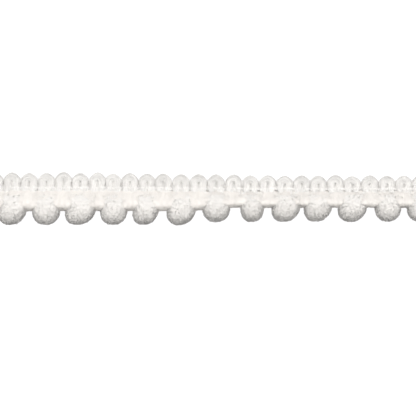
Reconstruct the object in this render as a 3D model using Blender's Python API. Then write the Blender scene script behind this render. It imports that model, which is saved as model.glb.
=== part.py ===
"""Pompom fringe trim: a cut length lying face up on a table.

A narrow knitted braid, the heading, has an upper edge of soft yarn loops.
A padded footing runs along its lower edge, and fourteen cut-pile pompoms are bound round the footing.
Metres: +X along the trim, +Y from the pompoms to the looped edge, +Z up from the table.
The origin is the middle of the trim's footprint, on the table.
"""

import math
import random
from collections import namedtuple

import bmesh
import bpy
from mathutils import Vector

MM = 0.001

# Driving dimensions of the whole trim
POMPOM_PITCH = 8.25 * MM
LOOPS_PER_POMPOM = 2
LOOP_PITCH = POMPOM_PITCH / LOOPS_PER_POMPOM
GAP = 0.3 * MM
SHARPEST_SMOOTH = math.radians(50)

# Places across the trim at its wide end, from a line a little above the footing's top edge
LOOP_TOP_Y = 6.1 * MM
LOOP_VALLEY_Y = 4.95 * MM
FLAT_FROM_Y = 3.0 * MM
HEADING_LOW_Y = 0.8 * MM
FOOTING_TOP_Y = HEADING_LOW_Y - GAP
FOOTING_LOW_Y = -3.5 * MM
POMPOM_CENTRE_Y = -2.75 * MM

# Thicknesses, and the height of the footing's middle above the table
HEADING_THICKNESS = 1.2 * MM
FOOTING_THICKNESS = 2.4 * MM
FOOTING_HEIGHT = 2.9 * MM

# The size of one pompom, and how much of its underside the table presses flat
POMPOM_WIDTH = 6.75 * MM
POMPOM_LENGTH = 7.75 * MM
POMPOM_DEPTH = 6.3 * MM
PRESSED_FLAT = 0.15 * MM

# The trim is narrower towards its right end: the looped edge falls, the footing and the pompoms rise
LOOP_EDGE_FALL = 0.7 * MM
LOOP_EDGE_FALLS = (-30.0 * MM, 18.0 * MM)
FOOTING_RISE = 0.87 * MM
POMPOM_RISE = 0.77 * MM
LOWER_EDGE_RISES = (-3.5 * MM, 9.0 * MM)

# One row for each pompom, left to right, in millimetres: how far it sits off its even spacing, how far
# its lower end leans, and what it adds to the usual width and reach. The first and last sit past the
# stretch that can be measured, so they are plain.
Pompom = namedtuple("Pompom", "nudge lean wider longer")
POMPOMS = (
    Pompom(0.00, -0.30, 0.0, 0.0),
    Pompom(0.28, -0.60, 0.1, 0.0),
    Pompom(0.22, -0.20, 0.1, 0.0),
    Pompom(0.35, -0.90, 0.6, 0.0),
    Pompom(0.05, -0.20, -0.1, 0.0),
    Pompom(-0.38, -0.70, -0.4, 0.0),
    Pompom(-0.04, -0.70, 0.3, 0.1),
    Pompom(0.02, 0.00, 0.0, -0.3),
    Pompom(0.52, -0.10, -0.9, 0.2),
    Pompom(0.50, -0.70, 0.2, 0.1),
    Pompom(-0.02, -0.70, 0.0, 0.0),
    Pompom(0.00, -0.50, 0.3, 0.1),
    Pompom(0.31, -0.10, -0.3, 0.0),
    Pompom(0.00, -0.20, 0.0, 0.0),
)
LOOP_COUNT = len(POMPOMS) * LOOPS_PER_POMPOM + 1
TRIM_LENGTH = LOOP_COUNT * LOOP_PITCH

# The pompom's locks: four-sided tufts of the cut pile, raised on its ball, and none where it lies
BALL_CELLS = 6
LOCKS_PER_POMPOM = 21
LOCK_SPACING = 1.35 * MM
LOCK_RISE = 0.24 * MM
LYING_SIDE = -0.75
PILE_UNEVENNESS = 0.07 * MM
PILE_SEED = 7

# Across one loop of the heading's edge, as shares of its pitch from its middle: the two legs of the yarn
# stand up between the slit inside the loop and the slits beside it.
Leg = namedtuple("Leg", "place height")
LEG_STEPS = (
    Leg(-0.50, 0.0),
    Leg(-0.41, 0.8),
    Leg(-0.25, 1.0),
    Leg(-0.09, 0.8),
    Leg(0.00, 0.25),
    Leg(0.09, 0.8),
    Leg(0.25, 1.0),
    Leg(0.41, 0.8),
)

# Up the heading's front, as shares of the way from its lower edge to the valleys between the loops: how
# deep the grooves between the legs are, and how far the face is raised, both in millimetres.
FrontRow = namedtuple("FrontRow", "share groove raised")
CHAIN_ROW = FrontRow(0.45, 0.26, 0.24)
FRONT_ROWS = (
    FrontRow(0.05, 0.05, -0.15),
    FrontRow(0.36, 0.12, 0.00),
    CHAIN_ROW,
    FrontRow(0.54, 0.35, 0.00),
    FrontRow(0.74, 0.65, 0.00),
)
LOOP_SHOULDER = 0.62
SHOULDER_GROOVE = 0.35 * MM
SHOULDER_HEIGHT = 0.85
LOOP_HEIGHT_JITTER = 0.09 * MM
LOOP_SEED = 3

# The footing's stations along one pitch, as shares of it from the middle between two pompoms
Station = namedtuple("Station", "place pinch")
FOOTING_STATIONS = (
    Station(-0.12, 0.0),
    Station(0.00, 1.0),
    Station(0.12, 0.0),
    Station(0.50, 0.0),
)
CREASE_DEPTH = 0.35 * MM
CREASE_THINNING = 0.20 * MM
FOOTING_SIDES = 12

# The seat cut out of each pompom goes round the footing from its low edge and on up over the heading
SEAT_TOP_Y = 3.4 * MM
SEAT_ROUND_STEPS = 8
SEAT_ROUND_ENDS = math.radians(45)
SEAT_STEP_X = POMPOM_PITCH / 4
SEAT_OVERRUN = 1.0 * MM


def clear_scene():
    for thing in list(bpy.data.objects):
        bpy.data.objects.remove(thing)


def cloth_material(name, colour, roughness):
    material = bpy.data.materials.new(name)
    material.use_nodes = True
    shader = material.node_tree.nodes["Principled BSDF"]
    shader.inputs["Base Color"].default_value = (*colour, 1.0)
    shader.inputs["Roughness"].default_value = roughness
    shader.inputs["Metallic"].default_value = 0.0
    return material


def ease(share):
    share = min(max(share, 0.0), 1.0)
    return share * share * (3.0 - 2.0 * share)


def eased_between(x, ends):
    return ease((x - ends[0]) / (ends[1] - ends[0]))


def pompom_x(number):
    """The even place of a pompom along the trim, where the first is number 1."""
    return (number - (len(POMPOMS) + 1) / 2) * POMPOM_PITCH


def loop_edge_fall(x):
    return LOOP_EDGE_FALL * eased_between(x, LOOP_EDGE_FALLS)


def footing_rise(x):
    return FOOTING_RISE * eased_between(x, LOWER_EDGE_RISES)


def middle_height(y):
    """Height of the cloth's middle: flat on the table at the loops, then up to the footing."""
    lying = HEADING_THICKNESS / 2
    footing_middle_y = (FOOTING_TOP_Y + FOOTING_LOW_Y) / 2
    share = (FLAT_FROM_Y - y) / (FLAT_FROM_Y - footing_middle_y)
    return lying + (FOOTING_HEIGHT - lying) * ease(share)


def sweep(name, sections, material):
    """A closed solid through outlines that all have the same number of points, with flat cut ends."""
    mesh = bpy.data.meshes.new(name)
    shell = bmesh.new()
    rings = [[shell.verts.new(point) for point in section] for section in sections]
    count = len(rings[0])
    for ring, following in zip(rings, rings[1:]):
        for i in range(count):
            j = (i + 1) % count
            shell.faces.new((ring[i], following[i], following[j], ring[j]))
    shell.faces.new(reversed(rings[-1]))
    shell.faces.new(rings[0])
    bmesh.ops.recalc_face_normals(shell, faces=shell.faces)
    shell.to_mesh(mesh)
    shell.free()
    mesh.materials.append(material)
    mesh.shade_smooth()
    mesh.set_sharp_from_angle(angle=SHARPEST_SMOOTH)
    thing = bpy.data.objects.new(name, mesh)
    bpy.context.scene.collection.objects.link(thing)
    return thing


def heading_section(x, leg, top_y):
    """The heading's outline across the trim, where one leg or slit of its loops stands."""
    low_y = HEADING_LOW_Y
    valley_y = LOOP_VALLEY_Y - loop_edge_fall(x)
    half = HEADING_THICKNESS / 2
    sunk = 1.0 - leg.height
    outline = []
    for row in FRONT_ROWS:
        y = low_y + row.share * (valley_y - low_y)
        z = middle_height(y) + half + row.raised * MM - row.groove * MM * sunk
        outline.append(Vector((x, y, z)))
    slit_y = outline[-1].y
    shoulder_y = slit_y + LOOP_SHOULDER * (top_y - slit_y)
    shoulder_z = HEADING_THICKNESS * SHOULDER_HEIGHT - SHOULDER_GROOVE * sunk
    outline.append(Vector((x, shoulder_y, shoulder_z)))
    outline.append(Vector((x, top_y, half * SHOULDER_HEIGHT)))
    outline.append(Vector((x, shoulder_y, 0.0)))
    outline.append(Vector((x, FLAT_FROM_Y, 0.0)))
    under_y = (FLAT_FROM_Y + low_y) / 2
    outline.append(Vector((x, under_y, middle_height(under_y) - half)))
    edge_y = low_y + FRONT_ROWS[0].share * (valley_y - low_y)
    outline.append(Vector((x, edge_y, middle_height(edge_y) - half * SHOULDER_HEIGHT)))
    outline.append(Vector((x, low_y, middle_height(low_y))))
    return outline


def build_heading(material):
    """The knitted braid: loops of soft yarn along its edge, with a raised row of chain stitch under them."""
    jitter = random.Random(LOOP_SEED)
    uneven = [jitter.uniform(-1.0, 1.0) * LOOP_HEIGHT_JITTER for _ in range(LOOP_COUNT)]
    loop_rise = LOOP_TOP_Y - LOOP_VALLEY_Y
    sections = []
    for loop in range(LOOP_COUNT):
        middle = (loop + 0.5) * LOOP_PITCH - TRIM_LENGTH / 2
        for leg in LEG_STEPS:
            x = middle + leg.place * LOOP_PITCH
            arch = math.sqrt(max(0.0, 1.0 - (2.0 * leg.place) ** 2))
            valley_y = LOOP_VALLEY_Y - loop_edge_fall(x)
            sections.append(heading_section(x, leg, valley_y + (loop_rise + uneven[loop]) * arch))
    end_x = TRIM_LENGTH / 2
    sections.append(heading_section(end_x, LEG_STEPS[0], LOOP_VALLEY_Y - loop_edge_fall(end_x)))
    return sweep("heading", sections, material)


def build_footing(material):
    """The soft padded edge that carries the pompoms, creased midway between each two of them."""
    places = []
    for number in range(len(POMPOMS) + 1):
        between = pompom_x(number) + POMPOM_PITCH / 2
        for station in FOOTING_STATIONS:
            x = between + station.place * POMPOM_PITCH
            if abs(x) < TRIM_LENGTH / 2 - GAP:
                places.append((x, station.pinch))
    places = [(-TRIM_LENGTH / 2, 0.0), *places, (TRIM_LENGTH / 2, 0.0)]
    sections = []
    for x, pinch in places:
        low_y = FOOTING_LOW_Y + footing_rise(x)
        top_y = FOOTING_TOP_Y - CREASE_DEPTH * pinch
        middle_y = (low_y + top_y) / 2
        half_width = (top_y - low_y) / 2
        half_thickness = (FOOTING_THICKNESS - CREASE_THINNING * pinch) / 2
        outline = []
        for side in range(FOOTING_SIDES):
            angle = math.tau * side / FOOTING_SIDES
            y = middle_y + half_width * math.cos(angle)
            z = middle_height(y) + half_thickness * math.sin(angle)
            outline.append(Vector((x, y, z)))
        sections.append(outline)
    return sweep("footing", sections, material)


def seat_section(x):
    """The room that the footing and the heading need in a pompom, with the gap round them."""
    channel = HEADING_THICKNESS / 2 + GAP
    low_y = FOOTING_LOW_Y + footing_rise(x) - GAP
    round_top_y = FOOTING_TOP_Y + GAP
    middle_y = (low_y + round_top_y) / 2
    half_width = (round_top_y - low_y) / 2
    front, back = [], []
    for step in range(SEAT_ROUND_STEPS + 1):
        angle = math.pi - (math.pi - SEAT_ROUND_ENDS) * step / SEAT_ROUND_STEPS
        y = middle_y + half_width * math.cos(angle)
        half = (FOOTING_THICKNESS / 2 + GAP) * math.sin(angle)
        if y > middle_y:
            half = max(half, channel)
        front.append(Vector((x, y, middle_height(y) + half)))
        back.append(Vector((x, y, middle_height(y) - half)))
    for y in (round_top_y, SEAT_TOP_Y):
        front.append(Vector((x, y, middle_height(y) + channel + CHAIN_ROW.raised * MM)))
        back.append(Vector((x, y, middle_height(y) - channel)))
    return front + list(reversed(back[1:]))


def build_seat_cutter(material):
    """One long cutter for the seats of all the pompoms."""
    end_x = TRIM_LENGTH / 2 + SEAT_OVERRUN
    steps = math.ceil(2 * end_x / SEAT_STEP_X)
    places = [end_x * (2 * step / steps - 1) for step in range(steps + 1)]
    cutter = sweep("seat_cutter", [seat_section(x) for x in places], material)
    cutter.hide_render = True
    cutter.display_type = "WIRE"
    return cutter


def ball_points(shell, row, x, seed):
    """Moves a cube's grid onto an uneven leaning ball, and raises its locks."""
    chance = random.Random(PILE_SEED + seed)
    half_width = (POMPOM_WIDTH + row.wider * MM) / 2 - LOCK_RISE / 2
    half_length = (POMPOM_LENGTH + row.longer * MM) / 2 - LOCK_RISE / 2
    half_depth = POMPOM_DEPTH / 2
    centre_y = POMPOM_CENTRE_Y + POMPOM_RISE * eased_between(x, LOWER_EDGE_RISES)
    centre_z = half_depth - PRESSED_FLAT
    shuffled = list(shell.verts)
    chance.shuffle(shuffled)
    tips = []
    for vert in shuffled:
        outward = vert.co.normalized()
        place = Vector((outward.x * half_width, outward.y * half_length, outward.z * half_depth))
        clear = all((place - tip).length > LOCK_SPACING for tip in tips)
        on_table = outward.z < LYING_SIDE
        rise = chance.uniform(-1.0, 1.0) * PILE_UNEVENNESS
        if clear and not on_table and len(tips) < LOCKS_PER_POMPOM:
            tips.append(place)
            rise = LOCK_RISE
        place += outward * rise
        leaning = max(0.0, -place.y / half_length) * row.lean * MM
        vert.co = Vector((x + place.x + leaning, centre_y + place.y, centre_z + place.z))
        if vert.co.z < PRESSED_FLAT:
            vert.co.z = 0.0


def build_pompom(number, row, material, seat_cutter):
    """One ball of cut pile, seated round the footing."""
    name = f"pompom_{number:02d}"
    x = pompom_x(number) + row.nudge * MM
    shell = bmesh.new()
    bmesh.ops.create_cube(shell, size=2.0)
    bmesh.ops.subdivide_edges(shell, edges=shell.edges, cuts=BALL_CELLS - 1, use_grid_fill=True)
    ball_points(shell, row, x, number)
    mesh = bpy.data.meshes.new(name)
    shell.to_mesh(mesh)
    shell.free()
    mesh.materials.append(material)
    mesh.shade_smooth()
    ball = bpy.data.objects.new(name, mesh)
    bpy.context.scene.collection.objects.link(ball)
    seat = ball.modifiers.new("seat", "BOOLEAN")
    seat.object = seat_cutter
    seat.operation = "DIFFERENCE"
    return ball


def put_on_origin(things):
    """Hangs everything on one empty that brings the middle of the footprint to the origin."""
    low = min(vert.co.y for thing in things for vert in thing.data.vertices)
    high = max(vert.co.y for thing in things for vert in thing.data.vertices)
    trim = bpy.data.objects.new("trim", None)
    bpy.context.scene.collection.objects.link(trim)
    trim.location.y = -(low + high) / 2
    return trim


def main():
    clear_scene()
    knitted = cloth_material("knitted_yarn", (0.88, 0.87, 0.84), 0.85)
    short_pile = cloth_material("short_pile_yarn", (0.90, 0.88, 0.85), 0.9)
    cut_pile = cloth_material("cut_pile", (0.90, 0.88, 0.86), 0.95)
    seat_cutter = build_seat_cutter(cut_pile)
    nodes = [build_heading(knitted), build_footing(short_pile)]
    for number, row in enumerate(POMPOMS, start=1):
        nodes.append(build_pompom(number, row, cut_pile, seat_cutter))
    trim = put_on_origin(nodes)
    for thing in [*nodes, seat_cutter]:
        thing.parent = trim


main()
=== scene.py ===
import math
from collections import namedtuple

import bmesh
import bpy
import numpy as np
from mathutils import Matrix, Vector


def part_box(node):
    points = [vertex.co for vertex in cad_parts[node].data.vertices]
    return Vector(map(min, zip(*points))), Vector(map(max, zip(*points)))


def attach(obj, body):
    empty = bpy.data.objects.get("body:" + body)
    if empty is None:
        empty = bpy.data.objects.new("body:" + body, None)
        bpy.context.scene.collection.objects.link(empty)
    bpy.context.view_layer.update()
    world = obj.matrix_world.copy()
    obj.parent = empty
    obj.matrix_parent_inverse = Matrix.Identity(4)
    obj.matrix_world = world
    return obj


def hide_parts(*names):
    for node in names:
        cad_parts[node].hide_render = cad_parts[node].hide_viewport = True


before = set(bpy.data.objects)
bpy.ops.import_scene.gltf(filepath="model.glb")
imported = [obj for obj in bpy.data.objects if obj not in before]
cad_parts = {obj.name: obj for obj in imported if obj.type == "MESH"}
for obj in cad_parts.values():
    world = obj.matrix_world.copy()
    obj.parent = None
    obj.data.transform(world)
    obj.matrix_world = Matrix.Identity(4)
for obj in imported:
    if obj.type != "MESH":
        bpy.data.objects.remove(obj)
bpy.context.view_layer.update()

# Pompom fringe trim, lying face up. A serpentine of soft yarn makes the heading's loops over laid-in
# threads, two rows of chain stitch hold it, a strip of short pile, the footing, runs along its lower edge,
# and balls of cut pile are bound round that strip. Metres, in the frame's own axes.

MM = 0.001
HEADING_LOW, HEADING_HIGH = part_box("heading")
EDGE_Y = HEADING_LOW.y
HALF_LENGTH = HEADING_HIGH.x
UP_AXIS = np.array([0.0, 0.0, 1.0])

# Places up the trim, in millimetres above the heading's lower edge, at the trim's wide end
LOOP_VALLEY_UP = 4.15
CHAIN_ROWS_UP = (1.69, 0.65)
FLAT_FROM_UP = 2.2
FOOTING_MIDDLE_UP = -2.3
FOOTING_TOP_UP = -0.3
FOOTING_LOW_UP = -4.3
POMPOM_CENTRE_UP = -3.55

# Heights above the table, in millimetres
LYING_MIDDLE = 0.6
FOOTING_MIDDLE = 2.9
POMPOM_MIDDLE = 3.0

# The trim is narrower towards its right end: how far its edges move in, between which places along it
LOOP_EDGE_FALL = 0.7
LOOP_EDGE_FALLS = (-30.0 * MM, 18.0 * MM)
FOOTING_RISE = 0.87
POMPOM_RISE = 0.77
LOWER_EDGE_RISES = (-3.5 * MM, 9.0 * MM)

# One row for each pompom, left to right, in millimetres: how far it sits off its even spacing, how far
# its lower end leans, and what it adds to the usual width and reach
Pompom = namedtuple("Pompom", "nudge lean wider longer")
POMPOMS = (
    Pompom(0.00, -0.30, 0.0, 0.0),
    Pompom(0.28, -0.60, 0.1, 0.0),
    Pompom(0.22, -0.20, 0.1, 0.0),
    Pompom(0.35, -0.90, 0.6, 0.0),
    Pompom(0.05, -0.20, -0.1, 0.0),
    Pompom(-0.38, -0.70, -0.4, 0.0),
    Pompom(-0.04, -0.70, 0.3, 0.1),
    Pompom(0.02, 0.00, 0.0, -0.3),
    Pompom(0.52, -0.10, -0.9, 0.2),
    Pompom(0.50, -0.70, 0.2, 0.1),
    Pompom(-0.02, -0.70, 0.0, 0.0),
    Pompom(0.00, -0.50, 0.3, 0.1),
    Pompom(0.31, -0.10, -0.3, 0.0),
    Pompom(0.00, -0.20, 0.0, 0.0),
)
# A pompom's usual size, how far up the trim its front reaches, and how far its back does from its middle
POMPOM_WIDTH = 6.75
POMPOM_LENGTH = 7.45
POMPOM_DEPTH = 6.3
POMPOM_TOP_UP = 1.15
POMPOM_BACK_REACH = 3.2
# How much its upper half spreads towards its neighbours, and the powers of its curves: 2 is a circle, and
# more is squarer. Its front is a little flatter than the rest, and its brow sinks into the heading.
POMPOM_SPREAD = 0.18
SHOULDER_SQUARENESS = 5
BALL_ROUNDNESS = 2.25
BALL_FLATNESS = 3.0
BROW_ROUNDNESS = 1.8
BROW_FALL = 0.8
BALL_CUTS = 5
BALL_LUMP = 0.010
DENSE_SHARE = 0.92

# Cut pile: fibres as fine as real ones would not show, so each of these stands for a few. Sparkle is how
# far a fibre strays in the light from the surface that it stands on. Tufts are told by their width on a
# ball of radius 1, how far they stand out and how far they lean.
FIBRE_RADIUS = 0.055 * MM
FIBRE_SPARKLE = 0.30
POMPOM_FIBRES = 12000
PILE_ROOT = 0.42 * MM
TUFT_WIDTH = 0.09
TUFT_RISE = 0.028
TUFT_LEAN = 0.38
TUFT_WAVES = 24
FOOTING_FIBRES = 30000
FOOTING_FIBRE_TRIES = 90000
FOOTING_PILE = 0.17 * MM

# One entry for each loop, left to right, in millimetres: how far its middle sits off its even spacing, and
# how much higher its top reaches than usual
Loop = namedtuple("Loop", "nudge taller")
LOOPS = (
    Loop(0.00, 0.05), Loop(0.05, 0.00), Loop(0.00, 0.10), Loop(0.02, 0.15), Loop(0.02, 0.00),
    Loop(0.15, 0.02), Loop(0.12, 0.27), Loop(0.00, 0.00), Loop(0.22, 0.16), Loop(-0.26, -0.10),
    Loop(-0.29, 0.07), Loop(-0.17, 0.07), Loop(-0.43, 0.17), Loop(-0.19, 0.10), Loop(-0.07, 0.20),
    Loop(0.02, 0.24), Loop(0.26, 0.29), Loop(0.12, 0.08), Loop(0.24, 0.13), Loop(0.22, 0.00),
    Loop(0.22, 0.13), Loop(0.07, 0.03), Loop(0.19, 0.28), Loop(0.05, -0.12), Loop(0.29, 0.15),
    Loop(0.29, 0.06), Loop(0.26, 0.04), Loop(0.10, 0.10), Loop(0.00, 0.00),
)
LOOP_PITCH = 2 * HALF_LENGTH / len(LOOPS)
POMPOM_PITCH = 2 * LOOP_PITCH

# The yarn's half widths away from its loop's middle and towards it, and its half thickness, by how far up
# its leg is, in millimetres: the chain stitch pinches it, and it swells above that
YarnSize = namedtuple("YarnSize", "up outer inner thick")
YARN_SIZES = (
    YarnSize(-0.6, 0.80, 0.80, 0.45),
    YarnSize(0.1, 1.15, 0.98, 0.56),
    YarnSize(0.65, 1.15, 0.98, 0.58),
    YarnSize(1.2, 1.15, 0.98, 0.62),
    YarnSize(1.60, 1.10, 0.97, 0.62),
    YarnSize(2.15, 0.93, 0.93, 0.64),
    YarnSize(2.6, 0.89, 0.92, 0.68),
    YarnSize(3.1, 1.11, 0.91, 0.70),
)
# The same round the arch, by the angle up from where the arch starts
ArchSize = namedtuple("ArchSize", "degrees outer inner thick")
ARCH_SIZES = (
    ArchSize(0, 1.11, 0.91, 0.70),
    ArchSize(26, 1.21, 0.91, 0.72),
    ArchSize(51, 1.14, 0.91, 0.72),
    ArchSize(90, 1.32, 0.91, 0.72),
)
YARN_MEASURES = ("outer", "inner", "thick")

# The yarn's route, in millimetres: its legs stand this far from their loop's middle, the arch starts and
# the legs end this far up, and the turn from one loop to the next drops this much below them
LEG_FROM_MIDDLE = 0.95
ARCH_UP = 3.1
LEG_BOTTOM_UP = 0.0
TURN_DROP = 0.55
LEG_POINTS = 8
ARCH_POINTS = 13
TURN_POINTS = 3
LOOP_GAP = 0.03 * MM

# Filaments: the yarn is a slack bundle, drawn as this many strands round a filled middle. Its section is
# squarer than an ellipse, a power of 2, because the loops press on each other, and it twists once in 34 mm.
STRANDS = 34
STRAND_RADIUS = 0.085 * MM
STRAND_SIDES = 3
STRAND_SHARE = 0.95
MIDDLE_SIDES = 12
YARN_SQUARENESS = 4.0
STRAND_TURN = math.tau / (34 * MM)

# The threads laid in behind the loops: where they lie up the trim, and how far above the cloth's middle
# they lie behind the loops and between the legs. They are as thick as they are far apart, so they close
# the slits behind.
LAID_THREADS_UP = (0.1, 3.3)
LAID_THREAD_STEP = 0.36
LAID_THREAD_RADIUS = 0.18 * MM
LOOPS_FROM_UP = 1.7
LAID_BEHIND_LOOPS = 0.05 * MM
LAID_BETWEEN_LEGS = 0.25 * MM

# A link of the chain stitch: half its length and width, and how deep it is pulled into the yarn, at its
# middle and more at its ends, in millimetres
LINK_HALF_LENGTH = 1.18
LINK_HALF_WIDTH = 0.26
LINK_SINK = 0.08
LINK_DIP = 0.14
LINK_THREAD_RADIUS = 0.13 * MM

# The footing's outline across the trim, clockwise from the feather that lies over the heading's front:
# how far up and how high it is where it is bound between two pompoms, and how high it swells inside one
FootingPoint = namedtuple("FootingPoint", "up height swollen")
FOOTING_OUTLINE = (
    FootingPoint(1.40, 1.05, 1.05),
    FootingPoint(0.95, 1.62, 1.68),
    FootingPoint(0.35, 2.35, 2.50),
    FootingPoint(-0.30, 3.12, 3.40),
    FootingPoint(-1.00, 3.92, 4.45),
    FootingPoint(-1.70, 4.52, 5.10),
    FootingPoint(-2.35, 4.78, 5.45),
    FootingPoint(-2.90, 4.60, 5.35),
    FootingPoint(-3.35, 4.15, 4.90),
    FootingPoint(-3.68, 3.55, 4.00),
    FootingPoint(-3.84, 3.00, 3.20),
    FootingPoint(-3.68, 2.20, 2.20),
    FootingPoint(-3.20, 1.75, 1.50),
    FootingPoint(-2.00, 1.60, 1.40),
    FootingPoint(-0.90, 1.45, 1.40),
    FootingPoint(-0.40, 1.50, 1.50),
    FootingPoint(0.30, 1.60, 1.60),
    FootingPoint(0.90, 1.05, 1.05),
)
FOOTING_STEPS = 340
FOOTING_SIDES = 30
# How far from a binding the footing is fully swollen, the crease that the binding presses in it, and where
# its pile stands: no further up than this, no nearer to the table than this, and either this near to a
# binding or over the heading, since the pompoms cover the rest. All in millimetres.
SWELL_REACH = 1.2
CREASE_DEPTH = 0.18
CREASE_WIDTH = 0.22
PILE_TOP_UP = 1.0
PILE_LOW_HEIGHT = 1.3
PILE_OFF_BINDING = 2.2

# The photo's frame: this much of the trim across it, round this place
FRAME_WIDTH = 100.7 * MM
FRAME_CENTRE_X = 2.2 * MM
FRAME_CENTRE_UP = -3.17
LENS = 180.0
SENSOR = 36.0
FOCUS_HEIGHT = 2.5 * MM

# Light, in metres, watts and degrees: the softbox leans a little towards the looped edge. The pale
# surroundings are strong under this sine of the height above the horizon, and weak over that one.
SOFTBOX_SIZE = (2.0, 0.6)
SOFTBOX_DISTANCE = 0.9
SOFTBOX_TILT = 14
SOFTBOX_POWER = 11.9
SURROUNDINGS_UP = (-0.20, 0.55)
SURROUNDINGS_STRENGTH = (1.10, 0.27)
TABLE_HALF = 6.0
TABLE_DROP = 0.02 * MM
TABLE_GLOW = 0.92


def hex_colour(code):
    """An sRGB hex colour as linear red, green, blue and alpha."""
    shares = [int(code[i:i + 2], 16) / 255 for i in (1, 3, 5)]
    linear = [s / 12.92 if s <= 0.04045 else ((s + 0.055) / 1.055) ** 2.4 for s in shares]
    return (*linear, 1.0)


def node(tree, kind, settings=None, **links):
    """Adds one node: settings are its properties or the values of its inputs, links its inputs' sources."""
    made = tree.nodes.new(kind)
    for name, value in (settings or {}).items():
        if isinstance(name, int) or name in made.inputs:
            made.inputs[name].default_value = value
        else:
            setattr(made, name, value)
    for name, source in links.items():
        tree.links.new(source, made.inputs[name.replace("_", " ")])
    return made


def ease(share):
    share = np.clip(share, 0.0, 1.0)
    return share * share * (3.0 - 2.0 * share)


def eased_between(x, ends):
    return ease((x - ends[0]) / (ends[1] - ends[0]))


def place_y(up, x):
    """The Y of a place on the heading, drawn in towards the trim's narrow end."""
    narrowed = 1.0 - LOOP_EDGE_FALL * eased_between(x, LOOP_EDGE_FALLS) / LOOP_VALLEY_UP
    return EDGE_Y + up * narrowed * MM


def cloth_height(up):
    """The height of the cloth's middle: flat on the table at the loops, then up to the footing."""
    share = (FLAT_FROM_UP - up) / (FLAT_FROM_UP - FOOTING_MIDDLE_UP)
    return (LYING_MIDDLE + (FOOTING_MIDDLE - LYING_MIDDLE) * ease(share)) * MM


def unit(vectors):
    return vectors / np.maximum(np.linalg.norm(vectors, axis=-1, keepdims=True), 1e-12)


def lumps(points, size, seed, waves=10):
    """Smooth unevenness between about -1 and 1, with lumps of one size."""
    chance = np.random.default_rng(seed)
    ways = unit(chance.normal(size=(waves, 3))) * (math.tau / (size * 2))
    phases = chance.uniform(0, math.tau, waves)
    return np.sin(points @ ways.T + phases).sum(-1) / math.sqrt(waves) / 1.2


def mesh_piece(name, points, face_groups, material, shade=None, facing=None):
    """One object from arrays: each group of faces has the same number of corners.

    Facing gives each point the way its surface faces in the light, where fine fibres take it from the
    surface they stand on.
    """
    mesh = bpy.data.meshes.new(name)
    groups = [np.asarray(group, np.int32) for group in face_groups]
    totals = np.concatenate([np.full(len(g), g.shape[1], np.int32) for g in groups])
    corners = np.concatenate([g.ravel() for g in groups])
    mesh.vertices.add(len(points))
    mesh.vertices.foreach_set("co", np.asarray(points, np.float32).ravel())
    mesh.loops.add(len(corners))
    mesh.loops.foreach_set("vertex_index", corners)
    mesh.polygons.add(len(totals))
    starts = np.concatenate([[0], np.cumsum(totals)[:-1]])
    mesh.polygons.foreach_set("loop_start", starts.astype(np.int32))
    mesh.polygons.foreach_set("loop_total", totals)
    mesh.polygons.foreach_set("use_smooth", np.ones(len(totals), bool))
    if shade is not None:
        shades = mesh.attributes.new("shade", "FLOAT", "POINT")
        shades.data.foreach_set("value", shade.astype(np.float32))
    mesh.update(calc_edges=True)
    mesh.validate()
    if facing is not None:
        mesh.normals_split_custom_set_from_vertices(facing.astype(np.float32))
    mesh.materials.append(material)
    piece = bpy.data.objects.new(name, mesh)
    bpy.context.scene.collection.objects.link(piece)
    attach(piece, "root")
    return piece


def ring_faces(rings, sides, first=0, closed=False):
    """Quads between neighbouring rings of points."""
    count = rings if closed else rings - 1
    ring = np.arange(count)[:, None]
    side = np.arange(sides)[None, :]
    following = (ring + 1) % rings
    beside = (side + 1) % sides
    here, onward = ring * sides, following * sides
    quads = np.broadcast_arrays(here + side, here + beside, onward + beside, onward + side)
    return np.stack([q.ravel() for q in quads], 1) + first


def route_frame(route):
    """Unit vectors to the left of a route and up from it."""
    along = unit(np.gradient(route, axis=0))
    left = unit(np.cross(UP_AXIS, along))
    return left, np.cross(along, left)


def tube(route, radius, sides):
    """Points and faces of a closed-ended round thread along a route."""
    left, up = route_frame(route)
    angles = (math.tau * np.arange(sides) / sides)[None, :, None]
    radius = np.broadcast_to(radius, len(route))[:, None, None]
    ring = np.cos(angles) * left[:, None] + np.sin(angles) * up[:, None]
    points = (route[:, None] + radius * ring).reshape(-1, 3)
    caps = np.array([np.arange(sides)[::-1], np.arange(sides) + (len(route) - 1) * sides])
    return points, ring_faces(len(route), sides), caps


def join(parts):
    """Several (points, quads, caps) as one, with the faces counted on."""
    points, quads, caps, first = [], [], [], 0
    for part_points, part_quads, part_caps in parts:
        points.append(part_points)
        quads.append(part_quads + first)
        if len(part_caps):
            caps.append(part_caps + first)
        first += len(part_points)
    return np.concatenate(points), [np.concatenate(quads)] + ([np.concatenate(caps)] if caps else [])


def fibres(roots, tips, radius, chance):
    """Fine three-sided fibres from their roots, which are out of sight, to their tips."""
    along = unit(tips - roots)
    side = unit(np.cross(along, unit(chance.normal(size=roots.shape))))
    other = np.cross(along, side)
    radius = np.broadcast_to(radius, len(roots))[:, None]
    turns = [math.tau * corner / 3 for corner in range(3)]
    corners = [roots + radius * (side * math.cos(turn) + other * math.sin(turn)) for turn in turns]
    points = np.stack([*corners, tips], 1).reshape(-1, 3)
    first = np.arange(len(roots))[:, None] * 4
    sides = np.array([[0, 1, 3], [1, 2, 3], [2, 0, 3]])
    return points, (first[:, :, None] + sides[None]).reshape(-1, 3)


def new_material(name):
    material = bpy.data.materials.new(name)
    material.use_nodes = True
    tree = material.node_tree
    return material, tree, tree.nodes["Principled BSDF"]


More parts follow.
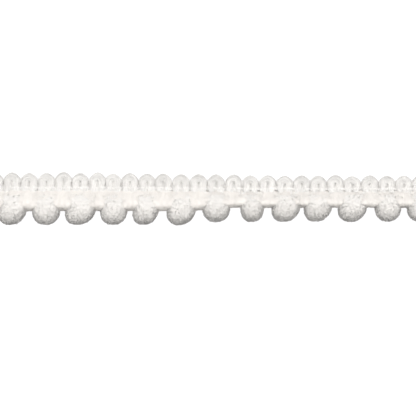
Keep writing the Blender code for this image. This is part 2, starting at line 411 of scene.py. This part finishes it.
def fibre_cloth(name, light, dark, roughness, sheen, patch_size, grain_size, grain_depth):
    """A matt fibrous finish: two near shades in soft patches and fibre by fibre, over a fine grain.

    The grain is the filaments' own, drawn a few filaments wide, because one alone, about 0.02 mm thick,
    is too fine to show.
    """
    material, tree, shader = new_material(name)
    place = node(tree, "ShaderNodeTexCoord").outputs["Object"]
    patches = node(tree, "ShaderNodeTexNoise", {"Scale": 1 / patch_size, "Detail": 3.0}, Vector=place)
    grain = node(tree, "ShaderNodeTexNoise", {"Scale": 1 / grain_size, "Detail": 2.0}, Vector=place)
    fibre = node(tree, "ShaderNodeAttribute", {"attribute_name": "shade"})
    half = node(tree, "ShaderNodeMath", {"operation": "MULTIPLY", 1: 0.5})
    tree.links.new(patches.outputs["Fac"], half.inputs[0])
    mixed = node(tree, "ShaderNodeMath", {"operation": "MULTIPLY_ADD", 1: 0.5})
    tree.links.new(fibre.outputs["Fac"], mixed.inputs[0])
    tree.links.new(half.outputs[0], mixed.inputs[2])
    colour = node(tree, "ShaderNodeMix", {"data_type": "RGBA"})
    colour.inputs[6].default_value = hex_colour(dark)
    colour.inputs[7].default_value = hex_colour(light)
    tree.links.new(mixed.outputs[0], colour.inputs["Factor"])
    tree.links.new(colour.outputs[2], shader.inputs["Base Color"])
    depth = {"Strength": 0.6, "Distance": grain_depth}
    bump = node(tree, "ShaderNodeBump", depth, Height=grain.outputs["Fac"])
    tree.links.new(bump.outputs["Normal"], shader.inputs["Normal"])
    shader.inputs["Roughness"].default_value = roughness
    shader.inputs["Sheen Weight"].default_value = sheen
    shader.inputs["IOR"].default_value = 1.5
    shader.inputs["Specular IOR Level"].default_value = 0.25
    return material


def slack_spun_acrylic_yarn():
    # Acrylic spun with hardly any twist: white, a little greyer or whiter strand by strand at random, with
    # a faint bloom of loose fibre and no gloss.
    # Its darker colour also carries painted shade: the arch tops and the filled middle seen in the hollows
    # between strands are coloured greyer.
    return fibre_cloth(
        "slack_spun_acrylic_yarn", light="#FFFDFA", dark="#D6D4D1", roughness=0.85, sheen=0.15,
        patch_size=2.0 * MM, grain_size=0.12 * MM, grain_depth=0.03 * MM,
    )


def twisted_polyester_thread():
    # Fine filament thread, twisted hard: even in colour, a little smoother than the yarn and without bloom
    return fibre_cloth(
        "twisted_polyester_thread", light="#F6F4F1", dark="#EDEAE7", roughness=0.6, sheen=0.0,
        patch_size=2.0 * MM, grain_size=0.10 * MM, grain_depth=0.02 * MM,
    )


def brushed_acrylic_pile():
    # Short brushed pile: a warm white nap, quite even, that takes the light softly
    return fibre_cloth(
        "brushed_acrylic_pile", light="#F8F4EF", dark="#EEE9E3", roughness=0.9, sheen=0.2,
        patch_size=1.5 * MM, grain_size=0.15 * MM, grain_depth=0.03 * MM,
    )


def cut_acrylic_pile():
    # Dense cut pile, seen on its fibre ends: matt, mottled in small tufts, and slightly less warm
    return fibre_cloth(
        "cut_acrylic_pile", light="#FBF8F4", dark="#EFECE8", roughness=0.95, sheen=0.2,
        patch_size=1.2 * MM, grain_size=0.15 * MM, grain_depth=0.03 * MM,
    )


def loop_middles():
    """The middles of the loops along the trim, in metres."""
    even = (np.arange(len(LOOPS)) - (len(LOOPS) - 1) / 2) * LOOP_PITCH
    return even + np.array([loop.nudge for loop in LOOPS]) * MM


def loop_walls():
    """Where each loop meets its neighbours, with the trim's two ends, in metres."""
    middles = loop_middles()
    between = (middles[1:] + middles[:-1]) / 2
    return np.concatenate([[-HALF_LENGTH], between, [HALF_LENGTH]])


def sizes_at(places, rows, measure):
    """The yarn's sizes at some places along it, between rows that give them by one measure."""
    steps = [getattr(row, measure) for row in rows]
    return [np.interp(places, steps, [getattr(row, part) for row in rows]) for part in YARN_MEASURES]


def loop_route(loop):
    """One loop's stretch of the yarn: its places along the trim from its middle, its places up the trim,
    and the yarn's sizes there."""
    leg_ups = np.linspace(LEG_BOTTOM_UP, ARCH_UP, LEG_POINTS, endpoint=False)
    leg_sizes = sizes_at(leg_ups, YARN_SIZES, "up")
    turned = np.linspace(0, 180, ARCH_POINTS)
    risen = 90 - np.abs(turned - 90)
    arch_sizes = sizes_at(risen, ARCH_SIZES, "degrees")
    left_leg = (np.full(LEG_POINTS, -LEG_FROM_MIDDLE), leg_ups, *leg_sizes)
    arch = (
        -LEG_FROM_MIDDLE * np.cos(np.radians(turned)),
        ARCH_UP + (LEG_FROM_MIDDLE + LOOPS[loop].taller) * np.sin(np.radians(turned)),
        *arch_sizes,
    )
    right_leg = (-left_leg[0], leg_ups[::-1], *[size[::-1] for size in leg_sizes])
    stretches = [left_leg, arch, right_leg]
    if loop < len(LOOPS) - 1:
        swing = np.radians(np.linspace(0, 180, TURN_POINTS + 2)[1:-1])
        reach = LOOP_PITCH / MM / 2 - LEG_FROM_MIDDLE
        small = YARN_SIZES[0]
        stretches.append((
            LOOP_PITCH / MM / 2 - reach * np.cos(swing),
            LEG_BOTTOM_UP - TURN_DROP * np.sin(swing),
            *[np.full(TURN_POINTS, getattr(small, part)) for part in YARN_MEASURES],
        ))
    across, up, outer, inner, thick = (np.concatenate(part) for part in zip(*stretches))
    return across, up, outer, inner, thick, np.full(len(up), loop)


def build_loops(yarn, chance):
    """The serpentine of soft yarn: one filled middle with slack strands round it."""
    parts = [loop_route(loop) for loop in range(len(LOOPS))]
    across, up, outer, inner, thick, loop = (np.concatenate(part) for part in zip(*parts))
    walls = loop_walls()
    middle = loop_middles()[loop]
    room = np.where(across < 0, middle - walls[loop], walls[loop + 1] - middle)
    x = middle + across * MM * room / (LOOP_PITCH / 2)
    height = cloth_height(up) + np.maximum(thick - LYING_MIDDLE, 0) * MM
    route = np.stack([x, place_y(up, x), height], 1)
    left, rise = route_frame(route)
    travelled = np.concatenate([[0], np.cumsum(np.linalg.norm(np.diff(route, axis=0), axis=1))])
    low_wall, high_wall = walls[loop] + LOOP_GAP / 2, walls[loop + 1] - LOOP_GAP / 2
    held = up > 0.0

    def bundle(angle, share):
        """A line along the yarn at one angle round it, at this share of the way out."""
        out, over = np.cos(angle), np.sin(angle)
        square = np.abs(out) ** YARN_SQUARENESS + np.abs(over) ** YARN_SQUARENESS
        reach = square ** (-1 / YARN_SQUARENESS)
        out, over = out * reach, over * reach
        sideways = np.where(out > 0, outer, inner) * out * share * MM
        line = route + left * sideways[:, None] + rise * (thick * over * share * MM)[:, None]
        line[:, 0] = np.where(held, np.clip(line[:, 0], low_wall, high_wall), line[:, 0])
        line[:, 2] = np.maximum(line[:, 2], 0.0)
        return line

    sides = MIDDLE_SIDES
    rings = np.stack([bundle(math.tau * s / sides, DENSE_SHARE) for s in range(sides)], 1)
    caps = np.array([np.arange(sides)[::-1], np.arange(sides) + (len(route) - 1) * sides])
    # Painted shade: the filled middle is given a lower shade value (0.4) than the strands, so the hollows
    # between strands, where it shows, are coloured greyer as if in shadow
    core = mesh_piece(
        "loop_yarn_middle", rings.reshape(-1, 3), [ring_faces(len(route), sides), caps], yarn,
        np.full(len(route) * sides, 0.4),
    )
    strands, shades = [], []
    stretched = np.stack([travelled, travelled * 0, travelled * 0], 1)
    for strand in range(STRANDS):
        drift = 0.14 * lumps(stretched, 5 * MM, 100 + strand)
        angle = math.tau * strand / STRANDS + STRAND_TURN * travelled + drift
        proud = STRAND_SHARE + 0.025 * lumps(stretched, 3 * MM, 200 + strand)
        line = bundle(angle, proud)
        line[:, 2] = np.maximum(line[:, 2], STRAND_RADIUS * 0.7)
        radius = STRAND_RADIUS * (1 + 0.15 * lumps(line, 2 * MM, 300 + strand))
        strands.append(tube(line, radius, STRAND_SIDES))
        # Painted shade: the strands are coloured greyer over the arches, towards the loops' tops, to stand
        # in for the shade the light leaves along them. The spread from strand to strand is the yarn's own
        # random tone.
        shade = chance.uniform(0.8, 1.4) - 1.2 * ease((up - 3.0) / 1.8)
        shades.append(np.repeat(shade, STRAND_SIDES))
    points, faces = join(strands)
    outside = mesh_piece(
        "loop_yarn_strands", points, faces, yarn, np.concatenate(shades),
    )
    return core, outside


def build_laid_threads(material, chance):
    """The threads laid in behind the loops, which show as the floor of the slits."""
    threads = []
    x = np.linspace(-HALF_LENGTH, HALF_LENGTH, 80)
    for row, up in enumerate(np.arange(*LAID_THREADS_UP, LAID_THREAD_STEP)):
        wave = 0.06 * MM * lumps(np.stack([x, x * 0 + row, x * 0], 1), 4 * MM, 400 + row)
        y = place_y(up, x) + wave
        z = cloth_height(up) + (LAID_BEHIND_LOOPS if up > LOOPS_FROM_UP else LAID_BETWEEN_LEGS) + 0 * x
        z = np.maximum(z, LAID_THREAD_RADIUS + 0.01 * MM)
        threads.append(tube(np.stack([x, y, z], 1), LAID_THREAD_RADIUS, 6))
    points, faces = join(threads)
    shade = chance.uniform(0.2, 0.8, len(points))
    return mesh_piece("laid_threads", points, faces, material, shade)


def build_chain(material, chance):
    """Two rows of chain stitch across the legs, a link to each leg."""
    turn = np.linspace(0, math.tau, 21)
    links = []
    for up in CHAIN_ROWS_UP:
        thick = np.interp(up, [row.up for row in YARN_SIZES], [row.thick for row in YARN_SIZES])
        for middle in loop_middles():
            for side in (-1, 1):
                leg_x = middle + side * LEG_FROM_MIDDLE * MM
                x = np.clip(leg_x + LINK_HALF_LENGTH * MM * np.cos(turn), -HALF_LENGTH, HALF_LENGTH)
                off = (x - leg_x) / (LOOP_PITCH / 2)
                dip = LINK_DIP * (1 - np.cos(math.tau * off)) / 2
                plump = LINK_HALF_WIDTH * (0.68 + 0.32 * np.cos(turn)) + chance.uniform(-0.03, 0.03)
                y = place_y(up, x) + plump * MM * np.sin(turn)
                z = cloth_height(up) + (thick - LINK_SINK - dip + 0.05 * np.cos(turn)) * MM
                links.append(tube(np.stack([x, y, z], 1), LINK_THREAD_RADIUS, 5))
    points, faces = join(links)
    return mesh_piece("chain_stitch", points, faces, material, np.full(len(points), 0.8))


def footing_ring(count):
    """The footing's outline as a smooth closed curve through its points."""
    rows = np.array(FOOTING_OUTLINE)
    at = np.arange(count) * len(rows) / count
    i = at.astype(int)
    t = (at - i)[:, None]
    before, start, end, after = (rows[(i + k) % len(rows)] for k in (-1, 0, 1, 2))
    turn = 2 * before - 5 * start + 4 * end - after
    twist = 3 * start - before - 3 * end + after
    return 0.5 * (2 * start + (end - before) * t + turn * t ** 2 + twist * t ** 3)


def off_binding(x):
    """How far a place along the trim is from the nearest binding between two pompoms, in millimetres."""
    between = (x / POMPOM_PITCH) % 1.0 * POMPOM_PITCH
    return np.minimum(between, POMPOM_PITCH - between) / MM


def footing_points(x, ring):
    """The footing's surface at places along the trim, for each point of its outline."""
    off = off_binding(x)
    swell = ease(off / SWELL_REACH)[:, None]
    up = ring[None, :, 0] + 0 * x[:, None]
    height = ring[None, :, 1] * (1 - swell) + ring[None, :, 2] * swell
    low_share = np.clip((FOOTING_TOP_UP - up) / (FOOTING_TOP_UP - FOOTING_LOW_UP), 0, 1)
    up = up + FOOTING_RISE * eased_between(x, LOWER_EDGE_RISES)[:, None] * low_share
    front = np.clip((height - 2.0) / 0.8, 0, 1) * np.clip((up + 1.6) / 1.2, 0, 1)
    height = height - CREASE_DEPTH * np.exp(-(off / CREASE_WIDTH) ** 2)[:, None] * front
    narrowed = 1.0 - LOOP_EDGE_FALL * eased_between(x, LOOP_EDGE_FALLS)[:, None] / LOOP_VALLEY_UP
    y = EDGE_Y + np.where(up > 0, up * narrowed, up) * MM
    return np.stack([x[:, None] + 0 * up, y, height * MM], -1)


def build_footing(material, chance):
    """The strip of short pile: a lumpy padded body, and fibres that stand out of it."""
    x = np.linspace(-HALF_LENGTH, HALF_LENGTH, FOOTING_STEPS)
    ring = footing_ring(FOOTING_SIDES)
    body = footing_points(x, ring)
    across = unit(np.roll(body, -1, axis=1) - np.roll(body, 1, axis=1))
    outward = np.cross(np.array([1.0, 0.0, 0.0]), across)
    outward *= np.sign((outward * (body - body.mean(axis=1, keepdims=True))).sum(-1, keepdims=True))
    swollen = 0.05 * lumps(body, 1.3 * MM, 21) + 0.025 * lumps(body, 0.5 * MM, 22)
    body = body + outward * swollen[..., None] * MM
    sides = len(ring)
    caps = np.array([np.arange(sides), (np.arange(sides) + (len(x) - 1) * sides)[::-1]])
    strip = mesh_piece(
        "footing_body", body.reshape(-1, 3), [ring_faces(len(x), sides)[:, ::-1], caps], material,
        np.full(len(x) * sides, 0.45),
    )
    return strip, build_footing_pile(x, body, outward, material, chance)


def build_footing_pile(x, body, outward, material, chance):
    """The short pile that stands out of the strip wherever a pompom doesn't cover it."""
    sides = body.shape[1]
    tries = FOOTING_FIBRE_TRIES
    i = chance.uniform(0, len(x) - 1.001, tries)
    j = chance.integers(0, sides, tries)
    s = chance.uniform(0, 1, tries)[:, None]
    low = i.astype(int)
    t = (i - low)[:, None]
    k = (j + 1) % sides
    start = body[low, j] * (1 - t) + body[low + 1, j] * t
    end = body[low, k] * (1 - t) + body[low + 1, k] * t
    base = start * (1 - s) + end * s
    facing = unit(outward[low, j] * (1 - s) + outward[low, k] * s)
    seen = (off_binding(base[:, 0]) < PILE_OFF_BINDING) | (base[:, 1] > EDGE_Y)
    seen &= (base[:, 2] > PILE_LOW_HEIGHT * MM) & (base[:, 1] < place_y(PILE_TOP_UP, base[:, 0]))
    base, facing = base[seen][:FOOTING_FIBRES], facing[seen][:FOOTING_FIBRES]
    way = unit(facing + 0.22 * chance.normal(size=base.shape))
    length = FOOTING_PILE * (1 + 0.25 * chance.normal(size=len(base)) + 0.3 * lumps(base, 0.5 * MM, 31))
    tips = base + way * length.clip(0.05 * MM, 0.5 * MM)[:, None]
    tips[:, 2] = np.maximum(tips[:, 2], 0.02 * MM)
    tips[:, 0] = np.clip(tips[:, 0], -HALF_LENGTH - 0.2 * MM, HALF_LENGTH + 0.2 * MM)
    points, faces = fibres(base - way * 0.1 * MM, tips, FIBRE_RADIUS, chance)
    lit = unit(facing + 0.6 * FIBRE_SPARKLE * chance.normal(size=base.shape))
    shade = np.repeat(chance.uniform(0, 1, len(base)), 4)
    facing = np.repeat(lit, 4, axis=0)
    return mesh_piece("footing_pile", points, [faces], material, shade, facing)


def even_ways(count, chance):
    """Directions spread evenly over a ball, with a little disorder."""
    i = np.arange(count) + 0.5
    tilt = np.arccos(1 - 2 * i / count)
    turn = math.pi * (1 + math.sqrt(5)) * i
    ways = np.stack([np.cos(turn) * np.sin(tilt), np.sin(turn) * np.sin(tilt), np.cos(tilt)], 1)
    return unit(ways + chance.normal(size=ways.shape) * 0.6 / math.sqrt(count))


def ball_surface(ways, number, share, uneven=True):
    """Points of one pompom's surface in these directions, this share of the way out from its middle.

    Its lower half is round. Its upper half follows the cloth down to the heading, spreads until it meets
    its neighbours, and is shallow behind, where the footing comes in.
    """
    row = POMPOMS[number]
    x = (number - (len(POMPOMS) - 1) / 2) * POMPOM_PITCH + row.nudge * MM
    centre_up = POMPOM_CENTRE_UP + POMPOM_RISE * eased_between(x, LOWER_EDGE_RISES)
    top_up = (place_y(POMPOM_TOP_UP, x) - EDGE_Y) / MM
    along = ways[:, 1]
    lower = along < 0
    reach = np.where(lower, (POMPOM_LENGTH + row.longer) / 2, top_up - centre_up)
    drop = np.abs(along)
    round_share = np.maximum(1 - drop ** BALL_ROUNDNESS, 0) ** (1 / BALL_ROUNDNESS)
    shoulder = np.maximum(1 - drop ** SHOULDER_SQUARENESS, 0) ** (1 / SHOULDER_SQUARENESS)
    spread = (1 + POMPOM_SPREAD * ease(drop / 0.7)) * shoulder
    brow = np.maximum(1 - drop ** BROW_ROUNDNESS, 0) ** BROW_FALL
    behind = np.sqrt(np.maximum(1 - (along * reach / POMPOM_BACK_REACH) ** 2, 0.0))
    wide = (POMPOM_WIDTH + row.wider) / 2 * np.where(lower, round_share, spread)
    front = POMPOM_DEPTH / 2 * np.where(lower, round_share, brow)
    back = POMPOM_DEPTH / 2 * np.where(lower, round_share, behind)
    turn = np.arctan2(ways[:, 2], ways[:, 0])
    flat = np.where(ways[:, 2] > 0, BALL_FLATNESS, BALL_ROUNDNESS)
    square = (np.abs(np.cos(turn)) ** flat + np.abs(np.sin(turn)) ** flat) ** (-1 / flat)
    place = np.stack([
        wide * np.cos(turn) * square,
        along * reach,
        np.where(ways[:, 2] > 0, front, back) * np.sin(turn) * square,
    ], 1) * MM
    if uneven:
        swollen = lumps(place, 1.5 * MM, 500 + number) + lumps(place, 0.6 * MM, 600 + number)
        share = share * (1 + BALL_LUMP * swollen)
    place = place * share[:, None]
    up = centre_up + place[:, 1] / MM
    place[:, 0] += x + np.where(lower, drop, 0) * row.lean * MM
    place[:, 1] += EDGE_Y + centre_up * MM
    place[:, 2] += cloth_height(up) + (POMPOM_MIDDLE - FOOTING_MIDDLE) * MM
    if uneven:
        place[:, 2] = np.maximum(place[:, 2], 0.03 * MM)
    return place


def build_pompom(number, material, ball, chance):
    """One ball of cut pile: a dense middle and the fibre ends that stand out of it."""
    ways, faces = ball
    name = f"pompom_{number + 1:02d}"
    surface = ball_surface(ways, number, np.full(len(ways), DENSE_SHARE))
    middle = mesh_piece(
        name + "_middle", surface, [faces], material, np.full(len(ways), 0.45),
    )
    spread = even_ways(POMPOM_FIBRES, chance)
    tufts, *leans = (
        lumps(spread, TUFT_WIDTH, seed + number, TUFT_WAVES) for seed in (700, 800, 900, 1000)
    )
    leans = np.stack(leans, 1)
    reach = 1.0 + 0.012 * chance.normal(size=POMPOM_FIBRES) + TUFT_RISE * tufts
    tips = ball_surface(spread, number, reach)
    facing = ball_facing(spread, number)
    way = facing + 0.25 * spread + 1.5 * TUFT_LEAN * leans + 0.15 * chance.normal(size=spread.shape)
    roots = tips - PILE_ROOT * unit(way)
    points, fibre_faces = fibres(roots, tips, FIBRE_RADIUS, chance)
    lit = unit(facing + TUFT_LEAN * leans + FIBRE_SPARKLE * chance.normal(size=spread.shape))
    shade = np.clip(0.5 + 0.25 * tufts + 0.25 * chance.normal(size=POMPOM_FIBRES), 0, 1)
    pile = mesh_piece(
        name + "_pile", points, [fibre_faces], material,
        np.repeat(shade, 4), np.repeat(lit, 4, axis=0),
    )
    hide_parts(name)
    return middle, pile


def ball_facing(ways, number):
    """The way a pompom's surface faces in each direction."""
    side = unit(np.cross(ways, np.array([0.31, 0.86, 0.40])))
    other = np.cross(ways, side)
    even = np.ones(len(ways))
    step = 0.04
    here = ball_surface(ways, number, even, False)
    aside = ball_surface(unit(ways + step * side), number, even, False)
    beyond = ball_surface(unit(ways + step * other), number, even, False)
    return unit(np.cross(aside - here, beyond - here))


def ball_grid(cuts):
    """Directions and triangles of an even ball."""
    shell = bmesh.new()
    bmesh.ops.create_icosphere(shell, subdivisions=cuts, radius=1.0)
    shell.verts.ensure_lookup_table()
    ways = np.array([v.co for v in shell.verts])
    faces = np.array([[v.index for v in f.verts] for f in shell.faces])
    shell.free()
    return unit(ways), faces


def build_table():
    """A plain pale floor of matt board, which glows so that it stays as white as a light table."""
    material, _, shader = new_material("matt_white_board")
    shader.inputs["Base Color"].default_value = hex_colour("#8C8C8C")
    shader.inputs["Roughness"].default_value = 1.0
    shader.inputs["Emission Color"].default_value = hex_colour("#FFFFFF")
    shader.inputs["Emission Strength"].default_value = TABLE_GLOW
    corners = [(x * TABLE_HALF, y * TABLE_HALF, 0.0) for x, y in ((-1, -1), (1, -1), (1, 1), (-1, 1))]
    mesh = bpy.data.meshes.new("table")
    mesh.from_pydata(corners, [], [(0, 1, 2, 3)])
    mesh.materials.append(material)
    table = bpy.data.objects.new("table", mesh)
    bpy.context.scene.collection.objects.link(table)
    table.location.z = -TABLE_DROP
    table.visible_diffuse = False


def build_light():
    """One long softbox nearly overhead, and pale surroundings that are brighter low down."""
    world = bpy.data.worlds.new("soft_daylight")
    bpy.context.scene.world = world
    world.use_nodes = True
    tree = world.node_tree
    way = node(tree, "ShaderNodeTexCoord").outputs["Generated"]
    height = node(tree, "ShaderNodeSeparateXYZ", Vector=way)
    above = node(tree, "ShaderNodeMapRange", {
        "From Min": SURROUNDINGS_UP[0], "From Max": SURROUNDINGS_UP[1],
        "To Min": SURROUNDINGS_STRENGTH[0], "To Max": SURROUNDINGS_STRENGTH[1],
    }, Value=height.outputs["Z"])
    tree.links.new(above.outputs[0], tree.nodes["Background"].inputs["Strength"])
    tree.nodes["Background"].inputs["Color"].default_value = hex_colour("#FFFFFF")

    lamp = bpy.data.lights.new("softbox", "AREA")
    lamp.shape = "RECTANGLE"
    lamp.size, lamp.size_y = SOFTBOX_SIZE
    lamp.energy = SOFTBOX_POWER
    softbox = bpy.data.objects.new("softbox", lamp)
    bpy.context.scene.collection.objects.link(softbox)
    tilt = math.radians(SOFTBOX_TILT)
    softbox.location = Vector((0.0, math.sin(tilt), math.cos(tilt))) * SOFTBOX_DISTANCE
    softbox.rotation_euler = (-tilt, 0.0, 0.0)


def build_camera():
    """Straight above, as the photo is taken."""
    data = bpy.data.cameras.new("camera")
    data.lens = LENS
    data.sensor_width = SENSOR
    camera = bpy.data.objects.new("camera", data)
    bpy.context.scene.collection.objects.link(camera)
    distance = FRAME_WIDTH * LENS / SENSOR
    camera.location = (FRAME_CENTRE_X, EDGE_Y + FRAME_CENTRE_UP * MM, FOCUS_HEIGHT + distance)
    data.clip_start = 0.01
    data.clip_end = 50.0
    bpy.context.scene.camera = camera


def main():
    bpy.context.scene.view_settings.view_transform = "Standard"
    chance = np.random.default_rng(11)
    build_camera()
    build_light()
    build_table()
    yarn = slack_spun_acrylic_yarn()
    thread = twisted_polyester_thread()
    short_pile = brushed_acrylic_pile()
    cut_pile = cut_acrylic_pile()
    core, strands = build_loops(yarn, chance)
    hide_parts("heading")
    build_laid_threads(thread, chance)
    build_chain(thread, chance)
    strip, pile = build_footing(short_pile, chance)
    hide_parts("footing")
    ball = ball_grid(BALL_CUTS)
    for number in range(len(POMPOMS)):
        build_pompom(number, cut_pile, ball, chance)


main()
